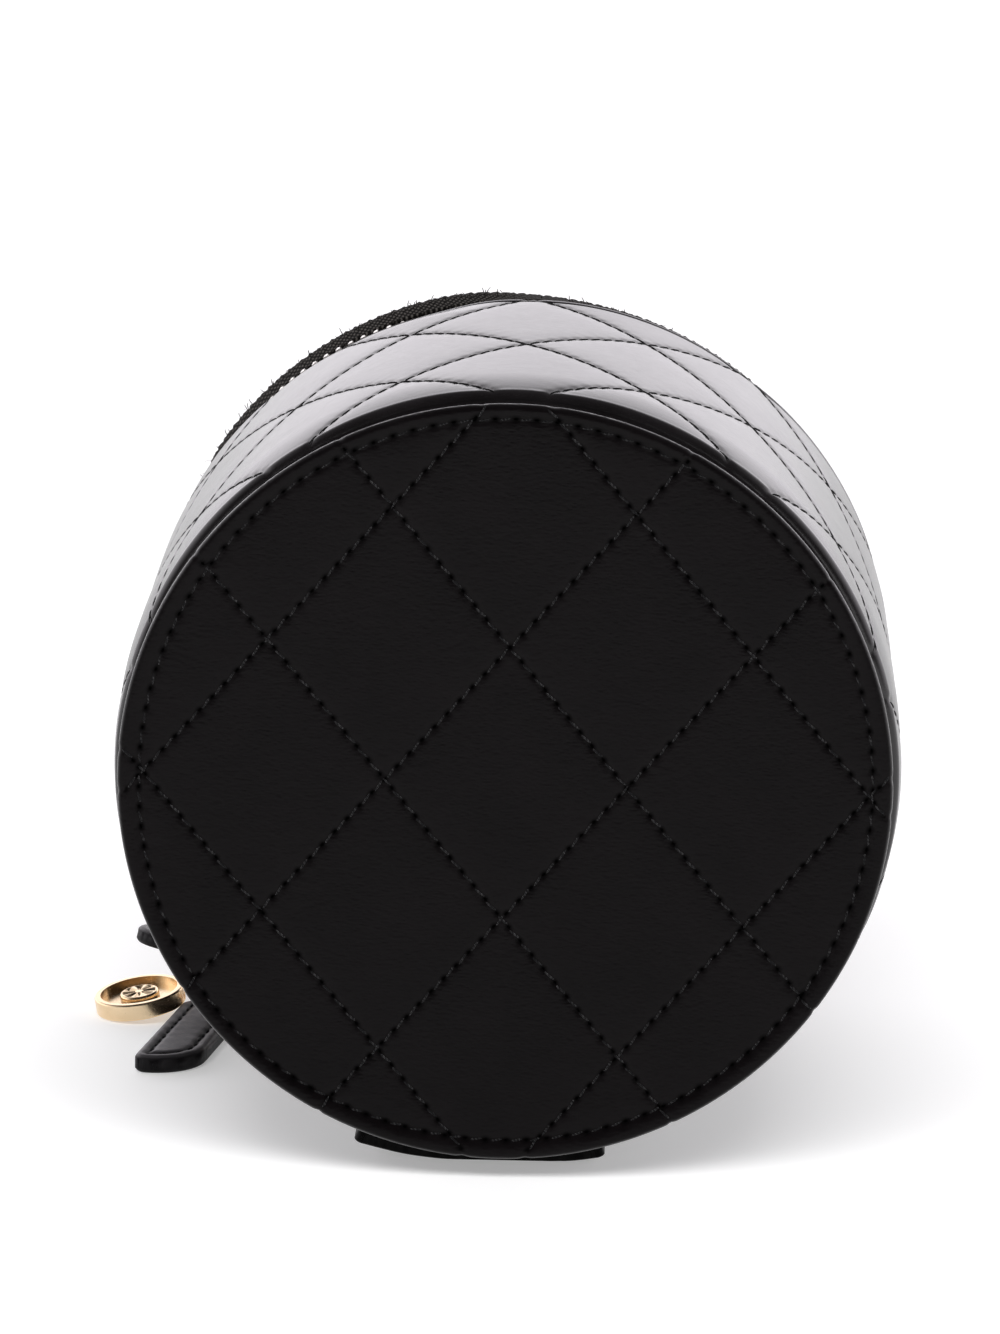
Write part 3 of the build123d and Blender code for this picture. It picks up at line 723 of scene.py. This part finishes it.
FLOOR_GLOW = 0.33       # painted light: the floor glows, dimmer near the case and brighter far off, which lifts its shadows
FAR_GLOW = 0.9
GLOW_FROM, GLOW_TO = 0.4, 2.0
floor_mesh = bpy.data.meshes.new("floor")
FLOOR_R = 14.0
floor_mesh.from_pydata([(FLOOR_R * cos(a), FLOOR_R * sin(a), 0) for a in np.arange(64) * tau / 64], [],
                       [list(range(64))])
floor = bpy.data.objects.new("floor", floor_mesh)
bpy.context.scene.collection.objects.link(floor)
FLOOR_LOOK, floor_tree, floor_shader = new_material("floor_look")
floor_tree.links.new(ramp(floor_tree, noise(floor_tree, (1, 1, 1), 3.0), [(0.3, (0.80,) * 3), (0.7, (0.81,) * 3)]),
                     floor_shader.inputs["Base Color"])
floor_shader.inputs["Roughness"].default_value = 0.7
floor_shader.inputs["Specular IOR Level"].default_value = 0.2
floor_shader.inputs["Emission Color"].default_value = (1.0, 1.0, 1.0, 1.0)
away = node(floor_tree, "VectorMath", {0: node(floor_tree, "TexCoord", {}).outputs["Object"]}, operation="LENGTH")
floor_tree.links.new(spread(floor_tree, away.outputs["Value"], FLOOR_GLOW, FAR_GLOW, GLOW_FROM, GLOW_TO),
                     floor_shader.inputs["Emission Strength"])
floor_mesh.materials.append(FLOOR_LOOK)



def softbox(name, at, aim, wide, high, power):
    """Rectangular area light, metres and watts, that neither the camera nor a gloss sees."""
    data = bpy.data.lights.new(name, "AREA")
    data.shape = "RECTANGLE"
    data.size = wide
    data.size_y = high
    data.energy = power
    lamp = bpy.data.objects.new(name, data)
    bpy.context.scene.collection.objects.link(lamp)
    direction = Vector(aim) - Vector(at)
    lamp.matrix_world = Matrix.Translation(at) @ direction.to_track_quat("-Z", "Y").to_matrix().to_4x4()
    lamp.visible_camera = False
    lamp.visible_glossy = False
    return lamp


FRONT_POWER = 42.0
softbox("front_light", (0.0, -1.3, 1.6), (0, -0.2, 0.0), 1.6, 0.9, FRONT_POWER)

# White walls low round the sides and the back, a dimmer ceiling, and a dark room behind the camera.
WALL_LIGHT, WALL_TOP = 1.91, 0.28
CEILING_LIGHT, CEILING_FROM = 0.15, 0.8
world = bpy.data.worlds.new("studio")
bpy.context.scene.world = world
world.use_nodes = True
sky = world.node_tree
direction = node(sky, "TexCoord", {}).outputs["Generated"]
toward_front = node(sky, "VectorMath", {0: direction, 1: (0.0, -1.0, 0.0)}, operation="DOT_PRODUCT").outputs["Value"]
upward_part = node(sky, "SeparateXYZ", {"Vector": direction}).outputs["Z"]
walls = spread(sky, upward_part, WALL_LIGHT, CEILING_LIGHT, WALL_TOP, CEILING_FROM)
lit = math(sky, "MULTIPLY", walls, spread(sky, toward_front, 1.0, 0.03, -0.1, 0.6))
sky.links.new(lit, sky.nodes["Background"].inputs["Strength"])
sky.nodes["Background"].inputs["Color"].default_value = (1.0, 0.965, 1.01, 1.0)


# ---- base and lid panels, walls
quilted_disc("base_panel_quilted", RIM_R, BASE_Y, SEAM_Y, -1, "body", "base_panel")
quilted_disc("lid_panel_quilted", LID_RIM_R, LID_TOP_Y, LID_SEAM_Y, 1, "lid", "lid_panel")


def arc(centre_r, centre_y, radius, start, end, count, share_start, share_end):
    """Points of a rounding in a wall's section, from one polar direction to another, degrees from +radius to +Y."""
    turns = np.radians(np.linspace(start, end, count))
    shares = np.linspace(share_start, share_end, count)
    return [(centre_r + radius * cos(t), centre_y + radius * sin(t), s) for t, s in zip(turns, shares)]


body_section = [(SHELL_OUT_R, WALL_Y, 0.0)]
body_section += arc(WALL_R - SAG - SHOULDER_R, WALL_Y + SHOULDER_R, SHOULDER_R, -90, 5, 9, 0.25, 1.0)
flat_low, flat_high, fine_from = WALL_Y + SHOULDER_R, EDGE_Y - EDGE_ROUND, EDGE_Y - 3.6
flat_rows = int((fine_from - flat_low) / 0.7)
for y in np.linspace(flat_low, fine_from, flat_rows)[1:-1]:
    body_section.append((WALL_R - SAG * max(1 - (y - flat_low) / SAG_RUN, 0) ** 2, y, 1.0))
body_section += [(WALL_R, y, 1.0) for y in np.linspace(fine_from, flat_high, 16)[:-1]]
body_section += arc(WALL_R - EDGE_ROUND, EDGE_Y - EDGE_ROUND, EDGE_ROUND, 0, 90, 6, 1.0, 0.4)
quilted_wall("wall_quilted", body_section, SHELL_OUT_R, "body", "wall_leather",
             WALL_Y + QUILT_START_IN, EDGE_Y - QUILT_END_IN, EDGE_Y - EDGE_STITCH_IN, 1.0)

LID_TOP_R = 51.6        # the lid narrows to this
LID_ROUND = 1.0
lid_slope = (LID_R - LID_TOP_R) / (LID_WALL_Y - LID_ROUND - LID_EDGE_Y)
lid_section = [(LID_SHELL_R, LID_EDGE_Y, 0.0)]
lid_section += arc(LID_R - 0.7, LID_EDGE_Y + 0.7, 0.7, -90, 0, 5, 0.2, 0.6)
lid_section += [(LID_R - lid_slope * (y - LID_EDGE_Y), y, 0.6)
                for y in np.linspace(LID_EDGE_Y + 0.9, LID_WALL_Y - 1.3, 9)]
lid_section += arc(LID_TOP_R - LID_ROUND, LID_WALL_Y - LID_ROUND, LID_ROUND, 5, 90, 6, 0.6, 0.2)
quilted_wall("lid_wall_quilted", lid_section, LID_SHELL_R, "lid", "lid_wall",
             LID_EDGE_Y + QUILT_END_IN, LID_WALL_Y - LID_ROUND, LID_EDGE_Y + EDGE_STITCH_IN, 0.0)

# ---- zip
TAPE_T = 0.55
TAPE_SUNK = 0.3         # the tapes lie this far under the solid's outer radius
TAPE_BULGE = 1.0
TAPE_PULL = 0.3
TOOTH_PITCH = 2.1
TOOTH_T = 2.0
CHAIN_SUNK = 1.1


def zip_span(name):
    """Lowest and highest y of one side of the zip, and its outer radius."""
    low, high = corners(name)
    return low[1], high[1], high[0]


def tape(name, body, replaced, start, end, section, bulge):
    """Woven tape round part of the case. section lists (radius, y, share of the bulge) of its outer side."""
    angle = np.linspace(start, end, int((end - start) * 4))
    radius, y, share = (np.array(values)[:, None] for values in zip(*section))
    slack = share * bulge(angle)
    around = np.radians(angle)
    ripple = (0.05 * np.sin(around * 173) + 0.06 * np.sin(around * 263 + 1) + 0.05 * np.sin(around * 431)) * share
    outer = round_case(radius + slack + ripple, angle, y + 0 * angle)
    inner = round_case(radius + slack + ripple - TAPE_T, angle, y + 0 * angle)
    points = np.concatenate([outer, inner[::-1]])
    rows, columns = points.shape[:2]
    faces = grid_faces(rows, columns, loop_rows=True)
    ends = np.arange(rows) * columns
    faces += [ends.tolist(), (ends + columns - 1).tolist()]
    made = piece(name, points, faces, TAPE, body, "zip_tape")
    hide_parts(replaced)


def lid_bulge(angle):
    """Slack in the lid's tape, high on the left. On the right it is pulled in."""
    bulge = TAPE_BULGE * smooth_step(angle, 119, 1.6) * smooth_step(angle, 176, -3)
    return bulge - TAPE_PULL * smooth_step(angle, 187, 3)


def no_bulge(angle):
    return 0 * angle


TAPE_R = corners("zip_tape_body")[1][0]
teeth_low_body, _, TEETH_R = zip_span("zip_teeth_body")
_, teeth_high_lid, _ = zip_span("zip_teeth_lid")
tape("tape_body", "body", "zip_tape_body", 22.5, 343.5,
     [(TAPE_R - TAPE_SUNK, y, 0.0) for y in np.linspace(EDGE_Y - 0.6, teeth_low_body + 0.9, 9)], no_bulge)
lid_rows = np.linspace(teeth_high_lid - 0.9, LID_EDGE_Y + 0.5, 13)
lid_shares = np.sin(np.linspace(0, 1, 13) * pi * 0.62) ** 1.5
tape("tape_lid", "lid", "zip_tape_lid", 35.0, 343.5,
     [(TAPE_R - TAPE_SUNK, y, s) for y, s in zip(lid_rows, lid_shares)], lid_bulge)


def fibres(name, body, count, start, end):
    """Stray fibres that stand off the outer side of the lid's tape."""
    random = np.random.default_rng(7)
    parts = []
    for angle in random.uniform(start, end, count):
        length, lean = random.uniform(0.4, 1.3), random.uniform(-0.9, 0.9)
        y = random.uniform(CHAIN_Y + 1, LID_EDGE_Y - 1)
        foot = TAPE_R - 0.35 + lid_bulge(angle)
        radii = foot + np.array([0, 0.5, 0.9, 1.0]) * length * cos(lean)
        angles = angle + np.degrees(np.array([0, 0.3, 0.7, 1.1]) * length * sin(lean) / TAPE_R)
        middle = round_case(radii, angles, y)
        theta = np.arange(3) * tau / 3
        thick = np.array([0.09, 0.08, 0.06, 0.02])[:, None, None]
        ring = np.stack((np.cos(theta), np.sin(theta), 0 * theta), axis=-1)
        parts.append((middle[:, None] + thick * ring, grid_faces(4, 3, loop_columns=True)))
    piece(name, *joined(parts), TAPE, body, "zip_tape")


fibres("tape_fibres", "lid", 90, 118, 205)


def tooth(reach, inner, outer, half):
    """One zip tooth: root clamped on the tape, waist, and a rounded head. x runs round, y towards the other row."""
    plan = [(-half, 0), (-half, 0.35), (-half * 0.62, 0.5), (-half * 0.62, 0.68), (-half * 0.85, 0.85),
            (-half * 0.45, 1.0)]
    plan += [(-x, y) for x, y in plan[::-1]]
    plan = np.array([(x, y * reach) for x, y in plan])
    middle = plan.mean(0)
    levels = [(inner, 0.8), (inner + 0.25, 1.0), (outer - 0.35, 1.0), (outer, 0.72)]
    rings = [np.column_stack((middle + (plan - middle) * size, np.full(len(plan), level))) for level, size in levels]
    faces = grid_faces(len(levels), len(plan), loop_columns=True)
    faces += [list(range(len(plan))), list(range((len(levels) - 1) * len(plan), len(levels) * len(plan)))]
    return np.concatenate(rings), faces


def chain_rise(angle, sunk):
    """Away from the places where the slider parks, the chain lies a little low in the case's opening, follows the
    dip of the wall's edge, and only shows where the tape bulges."""
    raised = 0.74 + 0.3 * smooth_step(angle, 149, -3)
    shown = raised * np.exp(-((angle - 147) / 16.5) ** 4)
    dipped = (0.5 + sunk) * zip_dip(angle, EDGE_Y, EDGE_Y) / DIP
    return smooth_step(angle, 70, 4) * smooth_step(angle, 315, -4) * (shown - CHAIN_SUNK - dipped)


def teeth(name, body, replaced, start, end, root_y, tip_y, offset, sunk):
    pitch = degrees(TOOTH_PITCH / TEETH_R)
    parts = []
    shape, faces = tooth(abs(tip_y - root_y), TEETH_R - TOOTH_T, TEETH_R, 0.5)
    heading = 1 if tip_y > root_y else -1
    for angle in np.arange(start + 0.8 + offset * pitch, end - 0.8, pitch):
        at_angle = angle + np.degrees(shape[:, 0] / TEETH_R)
        radius = shape[:, 2] + chain_rise(angle, sunk)
        parts.append((round_case(radius, at_angle, root_y + heading * shape[:, 1]), faces))
    made = piece(name, *joined(parts), TEETH, body, "gold_metal")
    made.data.polygons.foreach_set("use_smooth", [False] * len(made.data.polygons))
    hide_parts(replaced)


TEETH_CLEAR = 0.45      # the heads stop this far from the middle, beside the slider's post
teeth("teeth_body", "body", "zip_teeth_body", 24.7, 341.3, teeth_low_body, CHAIN_Y - TEETH_CLEAR, 0.0, 0.0)
teeth("teeth_lid", "lid", "zip_teeth_lid", 35.0, 343.5, teeth_high_lid, CHAIN_Y + TEETH_CLEAR, 0.5, 0.7)

# ---- hinge strap
STRAP_LEFT, STRAP_RIGHT = 21.0, -14.5
STRAP_LOW, _ = corners("hinge_strap_body")
_, STRAP_HIGH = corners("hinge_strap_lid")
STRAP_T = 2.7
STRAP_CORNER = 1.2
STRAP_PUFF = 0.9        # its ends curl off the wall
STRAP_REF_R = 57.7
STRAP_Y = (STRAP_LOW[1], EDGE_Y - 2, CHAIN_Y, LID_EDGE_Y, STRAP_HIGH[1])
STRAP_LID_T = 2.4
STRAP_IN = (WALL_R, WALL_R, 53.7, LID_R, LID_TOP_R)
STRAP_OUT = (STRAP_REF_R, STRAP_REF_R, *(r + STRAP_LID_T for r in STRAP_IN[2:]))


def strap_surface(along, across, height):
    inner = np.interp(along, STRAP_Y, STRAP_IN)
    outer = np.interp(along, STRAP_Y, STRAP_OUT)
    puff = STRAP_PUFF * np.clip((np.abs(np.degrees(across / STRAP_REF_R)) - 8) / 13, 0, 1)
    radius = inner + height / STRAP_T * (outer + puff - inner)
    points = round_case(radius, np.degrees(across / STRAP_REF_R), along)
    points[..., 2] = np.maximum(points[..., 2], 0.0)
    return points


left, right_side = radians(STRAP_LEFT) * STRAP_REF_R, radians(STRAP_RIGHT) * STRAP_REF_R
near = STRAP_LOW[1] + STRAP_CORNER * (1 - np.cos(np.linspace(0, pi / 2, 7)))
strap_stations = np.concatenate([near, np.linspace(near[-1], STRAP_HIGH[1] - 0.5, 110)[1:],
                                 [STRAP_HIGH[1] - 0.2, STRAP_HIGH[1]]])
into_corner = np.maximum(STRAP_CORNER - (strap_stations - STRAP_LOW[1]), 0)
cut_in = STRAP_CORNER - np.sqrt(STRAP_CORNER ** 2 - into_corner ** 2)
strap_points, strap_faces, strap_marks, strap_outline = pad(
    strap_stations, right_side + cut_in, left - cut_in, STRAP_T, 0.4, stitched_relief, strap_surface, columns=61)
strap = piece("hinge_strap", strap_points, strap_faces, STRAP_LEATHER, None, "strap_leather", seam=strap_marks)
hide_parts("hinge_strap_body", "hinge_strap_lid")
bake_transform(strap)
strap_sewn = threads(*inset_stitches(strap_outline, PAD_STITCH_IN, STITCH), strap_surface,
                     radius=0.24, slant=radians(8), lift=STRAP_T - PAD_GROOVE + 0.1)
strap_thread = piece("hinge_strap_stitches", *strap_sewn, DARK_THREAD, None, "strap_leather")
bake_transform(strap_thread)


# ---- leather tab and puller
def rounded_sides(stations, half, corner_low, corner_high, end):
    """Low and high sides of a strip whose end at the last station has two different corner radii."""
    sides = []
    for corner in (corner_low, corner_high):
        inward = np.maximum(corner - (end - stations), 0)
        sides.append(half - (corner - np.sqrt(np.maximum(corner ** 2 - inward ** 2, 0))))
    return -sides[0], sides[1]


STRIP_ROUND = 0.85
STRIP_STITCH, STRIP_THREAD_L, STRIP_THREAD_R = 2.5, 1.9, 0.25


def stitched_strip(name, stitches, body, replaced, stations, low, high, thickness, surface, skip=None):
    """A strip of thick leather with a row of stitches inside its outline."""
    points, faces, marks, outline = pad(stations, low, high, thickness, STRIP_ROUND, stitched_relief, surface)
    strip = piece(name, points, faces, TAB_LEATHER_LIT, body, "strap_leather", seam=marks)
    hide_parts(replaced)
    sewn = threads(*inset_stitches(outline, PAD_STITCH_IN, STRIP_STITCH, skip), surface, length=STRIP_THREAD_L,
                   radius=STRIP_THREAD_R, slant=radians(8), lift=thickness - PAD_GROOVE + 0.08)
    piece(stitches, *sewn, DARK_THREAD, body, "strap_leather")


def end_stations(start, end, corner, step):
    """Stations along a strip, closer together where its end is rounded."""
    body_part = np.arange(start, end - corner, step)
    rounded = end - corner * (1 - np.sin(np.linspace(0, pi / 2, 26)))
    return np.concatenate([body_part, rounded])


TAB_TIP = np.array([-50.8, 5.0])
TAB_T, TAB_HW = 2.8, 4.7
TAB_ROOT, TAB_FULL, TAB_ROOT_HW = 6.3, 10.0, 2.6
TAB_SQUARE_R, TAB_ROUND_R = 1.8, 7.5

tab_run = TAB_TIP - RING_C[:2]
TAB_LEN = np.linalg.norm(tab_run)
tab_x = tab_run / TAB_LEN
tab_y = np.array([-tab_x[1], tab_x[0]])


def tab_surface(along, across, height):
    x = RING_C[0] + along * tab_x[0] + across * tab_y[0]
    y = RING_C[1] + along * tab_x[1] + across * tab_y[1]
    return np.stack(np.broadcast_arrays(x, y, height), axis=-1)


tab_stations = end_stations(TAB_ROOT, TAB_LEN, TAB_ROUND_R, 0.45)
tab_low, tab_high = rounded_sides(tab_stations, TAB_HW, TAB_SQUARE_R, TAB_ROUND_R, TAB_LEN)
root = np.interp(tab_stations, (TAB_ROOT, TAB_FULL), (TAB_HW - TAB_ROOT_HW, 0))
stitched_strip("pull_tab_leather", "pull_tab_stitches", "tab", "pull_tab", tab_stations,
               tab_low + root, tab_high - root, TAB_T, tab_surface)

PULL_RISE = radians(11.5)
PULL_TILT = radians(8.0)
PULLER_T, PULLER_HW, PULLER_LEN, PULLER_TIP_R = 2.4, 6.0, 31.0, 5.4
NECK_START, NECK_END, SHOULDER_END, NECK_HW = 5.2, 7.4, 10.5, 2.4


pull_x = np.array([-cos(PULL_RISE), 0.0, sin(PULL_RISE)])
pull_z = np.array([sin(PULL_RISE) * cos(PULL_TILT), sin(PULL_TILT), cos(PULL_RISE) * cos(PULL_TILT)])
pull_y = np.cross(pull_z, pull_x)


def puller_surface(along, across, height):
    """height is from the puller's lower face."""
    along, across, height = np.broadcast_arrays(along, across, height)
    level = height - PULLER_T / 2
    return PIVOT + along[..., None] * pull_x + across[..., None] * pull_y + level[..., None] * pull_z


pull_stations = end_stations(NECK_START, PULLER_LEN, PULLER_TIP_R, 0.45)
pull_low, pull_high = rounded_sides(pull_stations, PULLER_HW, PULLER_TIP_R, PULLER_TIP_R, PULLER_LEN)
neck = np.interp(pull_stations, (NECK_END, SHOULDER_END), (PULLER_HW - NECK_HW, 0))
stitched_strip("puller_leather", "puller_stitches", "puller", "puller_tab", pull_stations,
               pull_low + neck, pull_high - neck, PULLER_T, puller_surface,
               skip=lambda line: line[:, 0] < SHOULDER_END - 1)

# ---- ring rolls
ROLL_STATIONS, ROLL_SIDES = 61, 48

for index in range(1, 6):
    low, high = corners(f"ring_roll_{index}")
    radius = (high[1] - low[1]) / 2
    centre_y, centre_z = (high[1] + low[1]) / 2, (high[2] + low[2]) / 2
    t = np.linspace(-1, 1, ROLL_STATIONS)
    half = (high[0] - low[0]) / 2
    profile = radius * (1 - np.abs(t) ** 9) ** 0.35 * (1 + 0.012 * np.cos(t * 21 + index))
    profile[[0, -1]] = 0.3
    theta = np.arange(ROLL_SIDES) * tau / ROLL_SIDES
    crease = 1 + 0.012 * np.sin(3 * theta + index)[None] * np.cos(t * 5)[:, None]
    sag = 1 - 0.03 * (np.cos(theta) > 0.9)
    points = np.stack(np.broadcast_arrays(
        ((low[0] + high[0]) / 2 + t * half)[:, None],
        centre_y + profile[:, None] * crease * sag * np.cos(theta),
        centre_z + profile[:, None] * crease * np.sin(theta)), axis=-1)
    faces = grid_faces(ROLL_STATIONS, ROLL_SIDES, loop_columns=True)
    faces += [list(range(ROLL_SIDES)), list(range((ROLL_STATIONS - 1) * ROLL_SIDES, ROLL_STATIONS * ROLL_SIDES))]
    roll = piece(f"ring_roll_velvet_{index}", points, faces, VELVET, "body", "velvet")
    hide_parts(f"ring_roll_{index}")

# ---- charm boss with a plain rosette
boss_low, boss_high = corners("charm_boss")
CHARM_TILT = radians(10.0)
CHARM_AT = (-56.6, 38.8)
boss_centre = (boss_low + boss_high) / 2
toward = unit(np.array([RING_C[0] - CHARM_AT[0], RING_C[1] - CHARM_AT[1], 0.0]))
boss_x = toward * cos(CHARM_TILT) + np.array([0, 0, sin(CHARM_TILT)])
boss_z = np.array([0, 0, cos(CHARM_TILT)]) - toward * sin(CHARM_TILT)
boss_y = np.cross(boss_z, boss_x)
u, v = disc_square(61)
BOSS_R, BOSS_T = 3.0, 1.0
flat_r = np.hypot(u, v)
petals = 0.5 + 0.5 * np.cos(8 * np.arctan2(v, u))
height = BOSS_T / 2 - 0.28 * (1 - petals ** 0.7) * (flat_r > 0.22) * (flat_r < 0.86)
height = height - 0.25 * np.clip((flat_r - 0.93) / 0.07, 0, 1)
face = boss_centre + (u[..., None] * boss_x + v[..., None] * boss_y) * BOSS_R + height[..., None] * boss_z
around = np.arange(240) * tau / 240
rim = np.stack([np.cos(around), np.sin(around)], axis=-1) * BOSS_R
sides = [boss_centre + rim[:, :1] * boss_x + rim[:, 1:] * boss_y + level * boss_z for level in (0.25, -0.5)]
parts = [(face, grid_faces(61, 61)), (np.stack(sides), grid_faces(2, 240, loop_columns=True))]
boss = piece("charm_rosette", *joined(parts), GOLD, "charm", "gold_metal", weld=0.02, fill=True)
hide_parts("charm_boss")

# ---- finish of the CAD pieces that show
FINISHES = (
    (STRAP_LEATHER, "strap_leather", "base_welt lid_welt"),
    (SUEDE, "lining", "mirror_frame base_lining wall_lining lid_lining lid_ceiling divider_left divider_right"),
    (BOARD, "board", "base_board wall_shell lid_shell lid_board"),
    (TEETH, "gold_metal", "zip_stop_left zip_stop_right"),
    (GOLD, "gold_metal", "slider_body slider_bridge puller_link pull_ring ring_rivet charm tab_clip"),
    (MIRROR, "mirror", "lid_mirror"),
)
for look, slot_name, names in FINISHES:
    for name in names.split():
        shown = frame["nodes"][name]
        shown.data.materials.clear()
        shown.data.materials.append(look)
